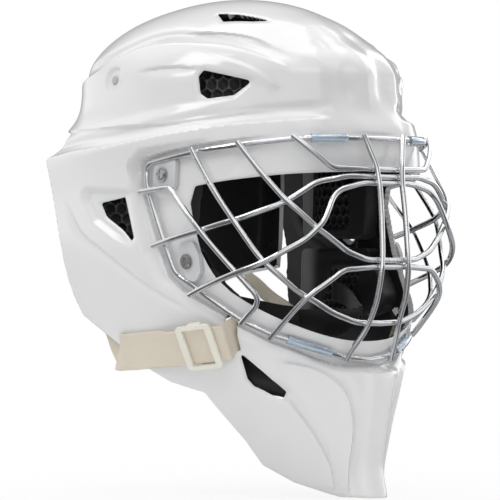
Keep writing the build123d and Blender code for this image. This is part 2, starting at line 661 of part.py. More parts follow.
def make_chin():
    made = {}
    keep = Pos(0, -76, -52) * Box(74, 34, 20)
    made["chin_cup"] = (bowl(42, 36, 30) - bowl(39, 33, 27)) & keep
    keep = Pos(0, -76, -52.5) * Box(66, 29, 15)
    made["chin_cup_pad"] = (bowl(38.8, 32.8, 26.8) - bowl(34.5, 28.5, 22.5)) & keep
    # sling straps from the cup to snaps on the cheek pads
    snap = seat(-69, -33, WALL + LINER_GAP + 17.0)
    inwards = snap.z_dir * -1
    stud = extrude(Plane(origin=snap.origin + inwards * 0.3, z_dir=inwards) * Circle(6.0), 1.6)
    made["chin_snaps"] = Compound(children=[Solid(s.solids()[0].wrapped) for s in both(stud)])
    end = snap.origin + inwards * 4.4
    up = Vector(0, 0, 1)
    sling = ribbon([
        (Vector(-31.0, -74.6, -47.5), up, Vector(-0.5, -0.85, 0)),
        (Vector(-36.0, -70.2, -46.5), up, Vector(-0.75, -0.65, 0)),
        (Vector(-42.0, -62.5, -45.0), up, Vector(-0.8, -0.6, 0)),
        (Vector(end.X + 5.0, end.Y - 14.0, end.Z - 4.5), up, Vector(-0.9, -0.3, 0)),
        (end, up, snap.z_dir),
        (end + Vector(0.5, 7, 1.5), up, snap.z_dir),
    ], 14.0, 1.5)
    made["chin_sling_right"], made["chin_sling_left"] = both(sling)
    return made


def main():
    os.makedirs("parts", exist_ok=True)
    made = {"shell": make_shell()}
    for group in (make_cage, make_fixings, make_liner, make_back, make_straps, make_chin):
        made.update(group())
    for name, shape in made.items():
        export_step(shape, f"parts/{name}.step")


if __name__ == "__main__":
    main()
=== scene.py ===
"""Goaltender's mask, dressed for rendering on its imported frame.

Metres, +Z up, the wearer faces -Y and the wearer's left is +X. Shape laws below work in
millimetres; angles run round the head from the front, negative on the wearer's right.
"""

import math

import bpy
import numpy as np
from mathutils import Matrix, Vector


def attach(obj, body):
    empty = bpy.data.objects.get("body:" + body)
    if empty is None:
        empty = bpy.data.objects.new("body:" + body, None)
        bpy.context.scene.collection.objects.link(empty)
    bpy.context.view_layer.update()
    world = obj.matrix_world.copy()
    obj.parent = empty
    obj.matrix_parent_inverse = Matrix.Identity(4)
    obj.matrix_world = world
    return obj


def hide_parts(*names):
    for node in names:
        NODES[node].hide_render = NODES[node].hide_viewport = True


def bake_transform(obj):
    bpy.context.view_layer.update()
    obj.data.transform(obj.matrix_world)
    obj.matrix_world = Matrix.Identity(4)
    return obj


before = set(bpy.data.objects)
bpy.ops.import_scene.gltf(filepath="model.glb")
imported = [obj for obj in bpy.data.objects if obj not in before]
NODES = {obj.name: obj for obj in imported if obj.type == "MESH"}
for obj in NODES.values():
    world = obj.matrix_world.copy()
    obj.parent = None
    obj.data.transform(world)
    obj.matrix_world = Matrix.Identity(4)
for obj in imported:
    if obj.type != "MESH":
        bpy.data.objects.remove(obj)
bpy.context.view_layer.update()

scene = bpy.context.scene

# ------------------------------------------- shape laws in millimetres, following the CAD source
WALL = 4.0
AXIS_Y = 12.0
DOME_Z, DOME_HEIGHT = 100.0, 75.5
RECESS_DROP = 7.4  # the recess floor lies this far inside the cage surface
WIRE_DROP = 2.7  # just inside the wires that lie on the cage surface
RIM_MARGIN = 4.6  # from the rim wire's middle to the step round it
EDGE_ROLL = 1.5  # radius of the moulded edges of shell and plate
SHARP = 38  # edges over this many degrees stay sharp
FAR_OUTSIDE = -99.0  # signed distance where an outline has no say
CROWN_LENGTH = 88.0  # developed length over the dome for each radian of elevation
SIDE_DEGREE, SHELL_DEGREE = 1.95, 1.75  # developed width of a degree at the ear and on average
# level, half width, reach forward, reach behind, front power, back power
SHELL_LEVELS = [
    (-176, 36, 137, 60, 1.80, 2.0), (-150, 60, 129, 70, 1.72, 2.0), (-120, 80, 132.5, 80, 1.68, 2.0),
    (-95, 92, 136, 90, 1.68, 2.2), (-75, 98, 136, 100, 1.75, 2.5), (-55, 100, 133, 112, 2.30, 3.0),
    (-25, 103, 132, 120, 2.45, 3.5), (10, 105, 133, 128, 2.45, 4.0), (50, 105, 132, 130, 2.30, 4.0),
    (70, 104.5, 133, 127, 2.20, 3.4), (82, 103.5, 131, 121, 2.10, 2.8), (91, 102, 126, 118, 2.05, 2.4),
    (100, 100.5, 123, 117.5, 2.0, 2.25),
]
# dome: elevation in degrees, then the same columns, the first three before the cosine is taken
DOME_LEVELS = [
    (0, 100.5, 123, 117.5, 2.0, 2.25), (7, 100.7, 121.9, 117.8, 2.0, 2.2), (16, 102, 125.5, 119.7, 2.0, 2.2),
    (26, 102.8, 125.3, 121.2, 2.0, 2.2), (36.5, 101.5, 116.6, 123.3, 2.0, 2.2),
    (49, 100.6, 116.5, 122.7, 2.0, 2.2), (56.5, 98.9, 113.5, 121, 2.0, 2.2),
    (66, 97, 116.5, 113.5, 2.0, 2.2), (90, 94, 119, 106, 2.0, 2.0),
]
# level, reach of the front bars, half width, corner power
CAGE_LEVELS = [
    (-76, 115, 84, 2.1), (-52, 124, 98, 2.4), (-30, 132, 104, 2.7), (-10, 134.5, 107, 3.1),
    (20, 133, 108, 3.1), (55, 129, 107, 2.6), (80, 126, 105, 2.35),
]
# level, half width, reach behind the axis, corner power
PLATE_LEVELS = [
    (-46, 78, 96, 2.2), (-20, 86, 107, 2.3), (15, 90, 112, 2.3), (50, 91, 114, 2.3),
    (80, 90, 112.5, 2.3), (112, 87, 107.5, 2.2),
]
# outlines drawn from the side as (forward, z): the face port, the recess round it, the rim wire on
# the wearer's right from mid brow to mid chin, and what is cut away behind
PORT = [
    (220, 52), (120, 52), (97, 49.7), (73, 46.5), (42, 42), (38.5, 30), (43, 13), (48, -3),
    (58.5, -20), (68, -30), (84, -42), (99, -53), (111, -63), (116, -66), (220, -66),
]
RECESS = [
    (220, 81), (109, 81), (55, 73.5), (2, 67), (-9, 58), (-8, 38), (4, -4), (15, -24),
    (34, -36), (70, -59.5), (86, -69.5), (98, -76), (111, -84.5), (220, -84.5),
]
RIM = [
    (125, 74.4), (107, 74), (56, 67), (22, 62), (-0.4, 57.5), (0.6, 43.5), (6, 30), (15, 10), (21.6, -5),
    (26.5, -17.5), (36, -25.5), (61, -40), (73, -49.3), (82, -55), (90, -61), (97, -65), (107, -72),
    (114, -75.6), (118, -76.6),
]
BEHIND = [
    (-220, 83), (-96, 82), (-86, 79.5), (-86.5, 74), (-92.3, 65), (-94.5, 61), (-90.6, 51),
    (-84.8, 29), (-77, -2), (-74.5, -20), (-70, -36), (-65, -47), (-39, -62.5), (-5, -84),
    (10, -92), (34, -99), (51.4, -131.6), (57, -149), (74.5, -160.5), (103, -170),
    (220, -173), (220, -220), (-220, -220),
]
# rivet, vents, strap slot and the scoop behind the ear vent on the wearer's right, as (angle, z)
RIVET = (-105.0, 116.5)
CROWN_VENT = [(-62, 162.0), (-46, 161.2), (-29, 156.2), (-38.5, 155.8), (-55.5, 155.8)]
UPPER_VENT = [(-61.5, 117), (-59.5, 121), (-40.5, 113), (-47.5, 103.5), (-57.5, 101.5), (-60.5, 105)]
EAR_VENT = [(-103, 31), (-91.5, 35), (-86.5, 7), (-88, 5), (-93, 12.5), (-100.5, 21.5)]
JAW_VENT = [(-45.5, -71), (-36.8, -84.5), (-28.8, -98), (-29.5, -102.5), (-40, -94), (-42.5, -89)]
STRAP_SLOT = [(-50.4, -47.5), (-47.0, -47.5), (-45.0, -69.5), (-47.6, -70.5)]
EAR_SCOOP = [(-109.5, 43), (-84, 41), (-80, 4), (-88.5, 0), (-96, 6), (-105.5, 17), (-110.5, 32)]
# vents with the radius of their corners
VENTS = [(CROWN_VENT, 1.2), (UPPER_VENT, 2.0), (EAR_VENT, 1.2), (JAW_VENT, 1.5), (STRAP_SLOT, 0.8)]

# Lines moulded into the shell: (angle, z) points, then a step's rise, its run on the upper side,
# the length over which the lower side settles back, the share of the line that fades at each end,
# the trough above it as (depth, distance, width), and whether upper and lower sides change places
CREASES = [
    # edge of the crown panel, from the rear up over the temple and down to the forehead
    ([(-150, 108), (-137, 115), (-119, 123), (-106, 132), (-94, 139), (-79, 141), (-64, 140), (-52, 138),
      (-42, 133), (-33, 126), (-26, 118)], 3.4, 2.6, 18.0, 0.16, (3.2, 8.5, 4.5), False),
    ([(-80, 148), (-58, 148.5), (-41, 145), (-31, 137)], 2.2, 2.4, 7.0, 0.25, None, True),
    ([(-64, 135), (-45, 124), (-36, 114), (-31, 106)], 2.2, 2.4, 9.0, 0.3, None, False),
    ([(-93, 120.5), (-76, 123), (-56, 121)], -2.2, 2.0, 4.5, 0.35, None, False),
    # ridge of the side wing and the hollow above it
    ([(-150, 58), (-126, 63), (-114, 67), (-97, 70), (-79, 75), (-59, 81), (-44, 84), (-28, 86.5),
      (-14, 88)], 2.8, 2.4, 16.0, 0.08, (2.8, 8.5, 4.5), False),
    ([(-140, 81), (-125, 83), (-110, 83.5), (-97, 84.5), (-76, 85), (-60, 88), (-42, 92.5), (-29, 93)],
     1.7, 2.2, 9.0, 0.2, None, True),
    # panel line that runs from behind the ear vent down to the jaw
    ([(-118, 36), (-111, 11), (-102, -1), (-89, -17), (-75, -32), (-61, -45)],
     -1.7, 1.8, 3.0, 0.2, None, False),
    ([(-121, 36), (-113.5, 9), (-104, -4), (-90, -20.5), (-75, -36), (-60, -49)],
     0.5, 2.0, 9.0, 0.2, None, False),
    # chin and jaw
    ([(-34, -78), (-26, -80), (-20, -84), (-15, -91), (-12, -99), (-10, -110), (-8.6, -126),
      (-8.6, -153), (-8.2, -172)], 2.6, 2.3, 7.0, 0.08, (1.3, 5.0, 3.2), False),
    ([(-35, -92), (-30, -101), (-23, -118), (-17.5, -134), (-13.5, -150), (-11, -172)],
     3.0, 2.4, 12.0, 0.10, (1.2, 5.0, 3.5), False),
]


def ease(t):
    """Smooth step from 0 to 1."""
    t = np.clip(t, 0.0, 1.0)
    return t * t * (3 - 2 * t)


def laws(level, table):
    """Monotone cubic values of a table's columns at an array of levels."""
    rows = np.array(table, float)
    at, value = rows[:, 0], rows[:, 1:]
    level = np.clip(np.asarray(level, float), at[0], at[-1])
    step = np.diff(value, axis=0) / np.diff(at)[:, None]
    a, b = step[:-1], step[1:]
    middle = np.where(a * b > 0, 2 * a * b / np.where(a + b == 0, 1, a + b), 0.0)
    slope = np.vstack([step[:1], middle, step[-1:]])
    i = np.clip(np.searchsorted(at, level, side="right") - 1, 0, len(at) - 2)
    span = (at[i + 1] - at[i])[..., None]
    t = (level - at[i])[..., None] / span
    rise = (3 * t**2 - 2 * t**3) * (value[i + 1] - value[i])
    lead = slope[i] * span * (t**3 - 2 * t**2 + t) + slope[i + 1] * span * (t**3 - t**2)
    return value[i] + rise + lead


def corner_radius(angle, half_width, reach, power):
    """Polar radius of a superellipse, the angle measured from its reach axis."""
    s, c = np.abs(np.sin(np.radians(angle))), np.abs(np.cos(np.radians(angle)))
    return ((s / half_width) ** power + (c / reach) ** power) ** (-1 / power)


def smooth_along(field, sigma, axis):
    """Gaussian smoothing, the field mirrored at its ends."""
    reach = int(4 * sigma) + 1
    weight = np.exp(-0.5 * (np.arange(-reach, reach + 1) / sigma) ** 2)
    weight /= weight.sum()
    pad = [(0, 0)] * field.ndim
    pad[axis] = (reach, reach)
    wide = np.pad(field, pad, mode="reflect" if axis else "edge")
    return np.apply_along_axis(lambda v: np.convolve(v, weight, mode="valid"), axis, wide)


def cage_reach(angle, z, drop):
    """Distance from the shell's axis to the cage surface dropped inwards."""
    law = laws(z, CAGE_LEVELS)
    reach, half_width, power = law[..., 0], law[..., 1], law[..., 2]
    # halving the span between near and far until it is far below a micrometre
    near, far = np.full(angle.shape, 10.0), np.full(angle.shape, 200.0)
    for _ in range(26):
        r = 0.5 * (near + far)
        x, f = r * np.sin(np.radians(angle)), r * np.cos(np.radians(angle)) - AXIS_Y
        inside = (np.abs(x) / (half_width - drop)) ** power
        inside = inside + np.where(f > 0, (np.abs(f) / (reach - drop)) ** power, 0.0)
        near, far = np.where(inside < 1, r, near), np.where(inside < 1, far, r)
    return near


# ---------------------------------------------------------------- the shell's surface as a grid
STEP = 1.0
ANGLES = np.linspace(-180, 0, 361)
LOW_Z = np.arange(-176, DOME_Z - 0.1, STEP)
ELEVATION = np.linspace(0, 89, 111)
ROW_Z = np.concatenate([LOW_Z, DOME_Z + DOME_HEIGHT * np.sin(np.radians(ELEVATION))])
ROW_COS = np.concatenate([np.ones(len(LOW_Z)), np.cos(np.radians(ELEVATION))])
# developed height: the level, then the arc length over the dome
ROW_H = np.concatenate([LOW_Z, DOME_Z + CROWN_LENGTH * np.radians(ELEVATION)])


def height_of(z):
    """Developed height of a level on the shell."""
    z = np.asarray(z, float)
    over = np.clip((z - DOME_Z) / DOME_HEIGHT, 0, 0.9998)
    return np.where(z <= DOME_Z, z, DOME_Z + CROWN_LENGTH * np.arcsin(over))


def base_grid():
    """Radius of the plain shell over rows and angles."""
    low, dome = laws(LOW_Z, SHELL_LEVELS), laws(ELEVATION, DOME_LEVELS)
    law = smooth_along(np.vstack([low, dome]), 3.5, 0)
    half, front, back, front_power, back_power = [law[:, k][:, None] for k in range(5)]
    angle = ANGLES[None, :]
    r = np.where(
        np.abs(angle) <= 90,
        corner_radius(angle, half, front, front_power),
        corner_radius(angle, half, back, back_power))
    r = smooth_along(r * ROW_COS[:, None], 3.0, 1)
    # the side wing stands out below a line that climbs towards the front
    wing_line = 54.0 + 34.0 * (0.5 + 0.5 * np.cos(np.radians(angle)))
    slope_height, wing_depth = 21.0, 12.0
    grow = ease((np.abs(angle) - 20.0) / 115.0)
    ramp = np.clip((wing_line + slope_height - ROW_Z[:, None]) / slope_height, 0, 1)
    ramp = smooth_along(ramp, 1.2, 0)
    return r + wing_depth * grow * ramp * ease((ROW_Z[:, None] + 100.0) / 100.0)


BASE = base_grid()
ROWS, COLUMNS = BASE.shape
ANGLE = np.repeat(ANGLES[None, :], ROWS, 0).ravel()
LEVEL = np.repeat(ROW_Z[:, None], COLUMNS, 1).ravel()
HEIGHT = np.repeat(ROW_H[:, None], COLUMNS, 1).ravel()


def radius_at(angle, z):
    """Radius of the plain shell at arrays of angles and levels."""
    angle, z = np.broadcast_arrays(np.asarray(angle, float), np.asarray(z, float))
    u = np.abs((angle + 180) % 360 - 180)
    col = (180 - u) / 180 * (len(ANGLES) - 1)
    row = np.interp(height_of(z), ROW_H, np.arange(len(ROW_H)))
    i, j = np.minimum(row.astype(int), len(ROW_H) - 2), np.minimum(col.astype(int), len(ANGLES) - 2)
    s, t = row - i, col - j
    low = BASE[i, j] * (1 - t) + BASE[i, j + 1] * t
    high = BASE[i + 1, j] * (1 - t) + BASE[i + 1, j + 1] * t
    return low * (1 - s) + high * s


def place(angle, z, r):
    """Points in millimetres at an angle, level and radius."""
    return np.stack([r * np.sin(np.radians(angle)), AXIS_Y - r * np.cos(np.radians(angle)), z + 0 * r], -1)


def seat(angle, z):
    """Origin, direction along, direction up and outward normal on the plain shell."""
    def at(a, level):
        return Vector(place(a, level, radius_at(a, level)).tolist())
    along = (at(angle + 1.0, z) - at(angle - 1.0, z)).normalized()
    up = (at(angle, z + 1.0) - at(angle, z - 1.0)).normalized()
    out = along.cross(up).normalized()
    return at(angle, z), along, out.cross(along), out


# ---------------------------------------------------------------- outlines, creases, clipping
def rounded(corners, radius):
    """Closed outline with each corner rounded as far as its sides allow."""
    trail = []
    arc = 6
    count = len(corners)
    for i in range(count):
        here = np.array(corners[i], float)
        a = np.array(corners[i - 1], float) - here
        b = np.array(corners[(i + 1) % count], float) - here
        la, lb = np.hypot(*a), np.hypot(*b)
        half = 0.5 * math.acos(max(-1.0, min(1.0, float(a @ b) / (la * lb))))
        reach = min(radius / math.tan(half), 0.45 * la, 0.45 * lb) if half < 1.55 else 0.0
        start, end = here + a / la * reach, here + b / lb * reach
        for k in range(arc + 1):
            t = k / arc
            trail.append((1 - t) ** 2 * start + 2 * t * (1 - t) * here + t * t * end)
    return np.array(trail)


def depth_in(points, outline):
    """Signed distance of 2-D points to a closed outline, positive inside it."""
    best = np.full(len(points), 1e9)
    inside = np.zeros(len(points), bool)
    for p, q in zip(outline, np.roll(outline, -1, axis=0)):
        d = q - p
        size = float(d @ d)
        if size < 1e-9:
            continue
        w = points - p
        t = np.clip(w @ d / size, 0, 1)
        best = np.minimum(best, np.hypot(w[:, 0] - t * d[0], w[:, 1] - t * d[1]))
        crosses = (p[1] > points[:, 1]) != (q[1] > points[:, 1])
        if p[1] != q[1]:
            x = p[0] + (points[:, 1] - p[1]) * d[0] / (q[1] - p[1])
            inside ^= crosses & (points[:, 0] < x)
    return np.where(inside, best, -best)


def vent_depth(points, corners, radius):
    """Signed distance to a vent's outline, seen square to the wall there."""
    middle = np.mean(np.array(corners, float), axis=0)
    origin, along, up, out = seat(*middle)
    axes = np.array([along, up, out])
    local = (points - np.array(origin)) @ axes.T
    flat = []
    for angle, z in corners:
        p = Vector(place(angle, z, radius_at(angle, z)).tolist()) - origin
        flat.append((p.dot(along), p.dot(up)))
    found = depth_in(local[:, :2], rounded(flat, radius))
    return np.where(np.abs(local[:, 2]) < 30, found, FAR_OUTSIDE)


def smooth_line(corners):
    """Catmull-Rom samples through a few (angle, z) points."""
    count = 48
    p = np.array(corners, float)
    p = np.vstack([2 * p[0] - p[1], p, 2 * p[-1] - p[-2]])
    found = []
    last = len(p) - 3
    for s in np.linspace(0, last - 1e-6, count):
        i = int(s)
        t = s - i
        a, b, c, d = p[i:i + 4]
        found.append(0.5 * (2 * b + (c - a) * t + (2 * a - 5 * b + 4 * c - d) * t**2
                            + (3 * b - a - 3 * c + d) * t**3))
    return np.array(found)


def crease(corners, points, fade):
    """Signed distance of the grid to a line on the shell (positive above it), and its strength there."""
    line = smooth_line(corners)
    where = place(line[:, 0], line[:, 1], radius_at(line[:, 0], line[:, 1]))
    h = height_of(line[:, 1])
    best = np.full(len(points), 1e9)
    side, along = np.ones(len(points)), np.zeros(len(points))
    count = len(line) - 1
    for k in range(count):
        p, d = where[k], where[k + 1] - where[k]
        w = points - p
        t = np.clip(w @ d / float(d @ d), 0, 1)
        gap = np.linalg.norm(w - t[:, None] * d, axis=1)
        near = gap < best
        best = np.where(near, gap, best)
        across, rise = (line[k + 1, 0] - line[k, 0]) * SHELL_DEGREE, h[k + 1] - h[k]
        cross = across * (HEIGHT - h[k]) - rise * (ANGLE - line[k, 0]) * SHELL_DEGREE
        side = np.where(near, np.sign(cross), side)
        along = np.where(near, (k + t) / count, along)
    return best * side, ease(along / fade) * ease((1 - along) / fade)


def crest(points, corners, amount, run, fall, fade, trough, turned):
    """Height of one row of CREASES over the grid."""
    s, strength = crease(corners, points, fade)
    s = -s if turned else s
    found = amount * ledge(s, run, fall)
    if trough:
        drop, middle, width = trough
        found = found - drop * np.exp(-((s - middle) / width) ** 2)
    return found * strength


def ridge(s, above, below, round_off):
    """Height of a crest at signed distance s, falling away over two widths."""
    width = np.where(s > 0, above, below)
    return np.exp(-(np.sqrt(s * s + round_off**2) - round_off) / width)


def ledge(s, run, fall):
    """A flat chamfer over run above a line, the surface below settling back over fall."""
    return np.where(s > 0, np.clip(1 - s / run, 0, 1), np.exp(np.minimum(s, 0) / fall))


def rolled(keep):
    """How far the surface drops where an edge, keep away, is rolled over."""
    roll = np.clip(EDGE_ROLL - keep, 0, EDGE_ROLL)
    return EDGE_ROLL - np.sqrt(np.maximum(EDGE_ROLL**2 - roll**2, 0))


def clipped(points, keep, columns, closed):
    """Mesh of a grid where keep is positive, cut cleanly along keep = 0."""
    rows = len(points) // columns
    i = np.arange(rows - 1)[:, None] * columns
    j = np.arange(columns if closed else columns - 1)[None, :]
    nxt = (j + 1) % columns
    quads = np.stack([i + j, i + nxt, i + columns + nxt, i + columns + j], -1).reshape(-1, 4)
    positive = (keep[quads] > 0).sum(1)
    faces = [tuple(q) for q in quads[positive == 4].tolist()]
    verts = points.tolist()
    made = {}
    for quad in quads[(positive > 0) & (positive < 4)].tolist():
        ring = []
        for a, b in zip(quad, quad[1:] + quad[:1]):
            if keep[a] > 0:
                ring.append(a)
            if (keep[a] > 0) != (keep[b] > 0):
                key = (min(a, b), max(a, b))
                if key not in made:
                    # kept off the corners, so that no face gets too thin
                    t = min(0.98, max(0.02, keep[a] / (keep[a] - keep[b])))
                    made[key] = len(verts)
                    verts.append((points[a] + t * (points[b] - points[a])).tolist())
                ring.append(made[key])
        if len(ring) >= 3:
            faces.append(tuple(ring))
    used = sorted({v for face in faces for v in face})
    index = {v: k for k, v in enumerate(used)}
    return [verts[v] for v in used], [tuple(index[v] for v in face) for face in faces]


def mesh_piece(name, verts, faces, materials):
    """A smooth-shaded object from vertices in millimetres."""
    mesh = bpy.data.meshes.new(name)
    mesh.from_pydata([(x * 0.001, y * 0.001, z * 0.001) for x, y, z in verts], [], faces)
    mesh.validate()
    mesh.update()
    piece = bpy.data.objects.new(name, mesh)
    scene.collection.objects.link(piece)
    for material in materials:
        mesh.materials.append(material)
    mesh.polygons.foreach_set("use_smooth", [True] * len(mesh.polygons))
    return piece


def settle(piece, sharp=None):
    """Applies the piece's modifiers to its mesh, with edges over that many degrees left sharp."""
    graph = bpy.context.evaluated_depsgraph_get()
    made = bpy.data.meshes.new_from_object(piece.evaluated_get(graph))
    piece.modifiers.clear()
    old = piece.data
    piece.data = made
    bpy.data.meshes.remove(old)
    made.polygons.foreach_set("use_smooth", [True] * len(made.polygons))
    if sharp:
        made.set_sharp_from_angle(angle=math.radians(sharp))
    return piece


def thicken(piece, wall, sharp):
    """Gives a skin its wall, inwards; the second material goes on the inside."""
    solid = piece.modifiers.new("wall", "SOLIDIFY")
    solid.thickness, solid.offset = wall * 0.001, -1.0
    solid.use_even_offset = False
    solid.material_offset, solid.material_offset_rim = 1, 0
    return settle(piece, sharp)


# ---------------------------------------------------------------- materials
def feed(tree, socket, value):
    """Joins a node's output to a socket, or sets the socket's own value."""
    if isinstance(value, bpy.types.NodeSocket):
        tree.links.new(value, socket)
    else:
        socket.default_value = value


class Paint:
    """A node material being built: short calls that add and join shader nodes."""

    def __init__(self, name):
        self.material = bpy.data.materials.new(name)
        self.material.use_nodes = True
        self.tree = self.material.node_tree
        self.shader = self.tree.nodes["Principled BSDF"]

    def node(self, kind, inputs=None, **settings):
        made = self.tree.nodes.new(kind)
        for key, value in settings.items():
            setattr(made, key, value)
        for key, value in (inputs or {}).items():
            feed(self.tree, made.inputs[key], value)
        return made

    def set(self, **values):
        """Inputs of the surface shader, with underscores for the spaces in their names."""
        for key, value in values.items():
            feed(self.tree, self.shader.inputs[key.replace("_", " ")], value)

    def place(self):
        return self.node("ShaderNodeTexCoord").outputs["Object"]

    def noise(self, scale, detail=3.0, rough=0.5):
        inputs = {"Vector": self.place(), "Scale": scale, "Detail": detail, "Roughness": rough}
        return self.node("ShaderNodeTexNoise", inputs).outputs["Fac"]

    def span(self, value, low, high, from_low=0.0, from_high=1.0):
        """The value moved from its own range on to low and high."""
        inputs = {"Value": value, "From Min": from_low, "From Max": from_high, "To Min": low, "To Max": high}
        return self.node("ShaderNodeMapRange", inputs).outputs["Result"]

    def blend(self, factor, a, b):
        """Colour from a to b, each a colour or a node's output."""
        made = self.node("ShaderNodeMix", data_type="RGBA", blend_type="MIX")
        feed(self.tree, made.inputs[0], factor)
        for socket, tone in ((made.inputs[6], a), (made.inputs[7], b)):
            feed(self.tree, socket, (*tone, 1.0) if isinstance(tone, tuple) else tone)
        return made.outputs[2]

    def math(self, kind, a, b=0.0):
        return self.node("ShaderNodeMath", {0: a, 1: b}, operation=kind).outputs[0]

    def bump(self, height, strength, distance):
        made = self.node("ShaderNodeBump", {"Height": height, "Strength": strength, "Distance": distance})
        self.set(Normal=made.outputs["Normal"])


def gloss_paint(name, tone):
    """Thick gloss over a moulded shell: slight orange peel and cloudiness."""
    p = Paint(name)
    rough = 0.2
    cloud = p.noise(14.0, 2.0)
    p.set(Base_Color=p.blend(p.span(cloud, 0.0, 1.0, 0.35, 0.65), tuple(0.975 * c for c in tone), tone))
    p.set(Roughness=p.span(p.noise(60.0), rough - 0.03, rough + 0.05))
    p.set(Coat_Weight=0.7, Coat_Roughness=0.10, Specular_IOR_Level=0.5)
    p.bump(p.noise(420.0, 2.0), 0.05, 0.0004)
    return p.material


def moulded(name, tone, rough, grain, coat=0.0):
    """Injection-moulded plastic with a fine grain."""
    p = Paint(name)
    p.set(Base_Color=p.blend(p.noise(90.0, 4.0), tuple(0.93 * c for c in tone), tone))
    p.set(Roughness=p.span(p.noise(200.0), rough - 0.06, rough + 0.08))
    p.set(Coat_Weight=coat, Coat_Roughness=0.12)
    p.bump(p.noise(grain, 3.0), 0.12, 0.0003)
    return p.material


def polished_wire():
    """Bright drawn wire: tiny draw marks and a little haze in patches."""
    p = Paint("polished_wire")
    haze = p.noise(75.0, 4.0, 0.6)
    p.set(Metallic=1.0, Base_Color=p.blend(haze, (0.74, 0.745, 0.755), (0.88, 0.885, 0.89)))
    p.set(Roughness=p.span(haze, 0.05, 0.13, 0.35, 0.75))
    p.bump(p.noise(900.0, 4.0), 0.10, 0.0002)
    return p.material


def steel(name, tone, rough):
    """Plated steel with fine flecks."""
    p = Paint(name)
    fleck = p.noise(1400.0, 4.0, 0.7)
    p.set(Metallic=1.0, Base_Color=p.blend(fleck, (tone * 0.7,) * 3, (tone,) * 3))
    p.set(Roughness=p.span(fleck, rough - 0.08, rough + 0.15), Anisotropic=0.4)
    p.bump(fleck, 0.15, 0.0002)
    return p.material


def clear_vinyl():
    """Clear, faintly blue vinyl tube."""
    p = Paint("clear_vinyl")
    p.set(Base_Color=p.blend(p.noise(120.0), (0.74, 0.84, 0.95), (0.88, 0.94, 1.0)))
    p.set(Roughness=0.08, Transmission_Weight=0.86, IOR=1.40, Coat_Weight=0.6, Coat_Roughness=0.03)
    p.bump(p.noise(260.0, 2.0), 0.10, 0.0006)
    return p.material


PLAIN_FOAM = 0.6


def foam():
    """Closed-cell foam with painted light; the relief attribute is 1 on the raised ribs, painted lighter as
    a highlight, 0 in the sunk cells, painted near black as shade, PLAIN_FOAM elsewhere.
    """
    p = Paint("moulded_foam")
    relief = p.node("ShaderNodeAttribute", attribute_name="relief").outputs["Fac"]
    pores = p.noise(2600.0, 3.0, 0.6)
    skin = p.blend(p.noise(160.0, 4.0), (0.011, 0.011, 0.012), (0.022, 0.022, 0.024))
    # painted light: the raised ribs lighter as a highlight, the sunk cells near black as shade
    ribs = p.blend(p.span(relief, 0.0, 1.0, 0.65, 1.0), skin, (0.085, 0.085, 0.09))
    p.set(Base_Color=p.blend(p.span(relief, 0.0, 1.0, 0.0, 0.6), (0.0025, 0.0025, 0.003), ribs))
    p.set(Roughness=p.span(pores, 0.42, 0.62), Specular_IOR_Level=0.45)
    p.set(Sheen_Weight=0.08, Sheen_Roughness=0.5)
    p.bump(pores, 0.22, 0.0003)
    return p.material


def webbing(name, warp, weft, shade):
    """Flat woven strap: UV runs 0 to 1 across and in metres along."""
    p = Paint(name)
    picks, ends = 620.0, 30.0  # weft yarns in a metre, warp yarns across the band
    uv = p.node("ShaderNodeTexCoord").outputs["UV"]
    xyz = p.node("ShaderNodeSeparateXYZ", {"Vector": uv})
    across, along = xyz.outputs["X"], xyz.outputs["Y"]
    row = p.math("MULTIPLY", along, picks * 2 * math.pi)
    col = p.math("MULTIPLY", across, ends * 2 * math.pi)
    twill = p.math("SINE", p.math("ADD", row, col))
    rib = p.math("COSINE", col)
    weave = p.math("ADD", p.math("MULTIPLY", twill, 0.6), p.math("MULTIPLY", rib, 0.4))
    weave = p.span(weave, 0.0, 1.0, -1.0, 1.0)
    yarn = p.noise(1500.0, 4.0, 0.7)
    colour = p.blend(weave, shade, p.blend(yarn, warp, weft))
    colour = p.blend(p.span(p.noise(45.0, 3.0), 0.0, 0.35, 0.4, 0.8), colour, shade)
    p.set(Base_Color=colour, Roughness=p.span(yarn, 0.75, 0.95), Sheen_Weight=0.3, Sheen_Roughness=0.4)
    p.bump(p.math("ADD", weave, p.math("MULTIPLY", yarn, 0.35)), 0.55, 0.0004)
    return p.material


WHITE = gloss_paint("white_gloss", (0.88, 0.88, 0.88))
# painted shade: the inside of the shell and back plate is near black to stand for the shade in there
INSIDE_SHADE = moulded("inside_painted_shade", (0.016, 0.016, 0.018), 0.6, 900.0)
WIRE_METAL = polished_wire()
VINYL = clear_vinyl()
CLIP = moulded("clip_plastic", (0.68, 0.69, 0.70), 0.28, 1800.0, 0.4)
SCREW = steel("screw_steel", 0.62, 0.22)
RIVET_PAINT = moulded("rivet_paint", (0.52, 0.525, 0.535), 0.35, 1600.0, 0.3)
FOAM = foam()
SAND = webbing("webbing_sand", (0.93, 0.86, 0.735), (0.86, 0.785, 0.66), (0.68, 0.605, 0.49))
BLACK_WEB = webbing("webbing_black", (0.030, 0.030, 0.032), (0.018, 0.018, 0.02), (0.006, 0.006, 0.006))
CREAM = moulded("buckle_cream", (0.94, 0.92, 0.81), 0.25, 1800.0, 0.5)
CUP = moulded("cup_plastic", (0.022, 0.022, 0.024), 0.45, 1400.0)


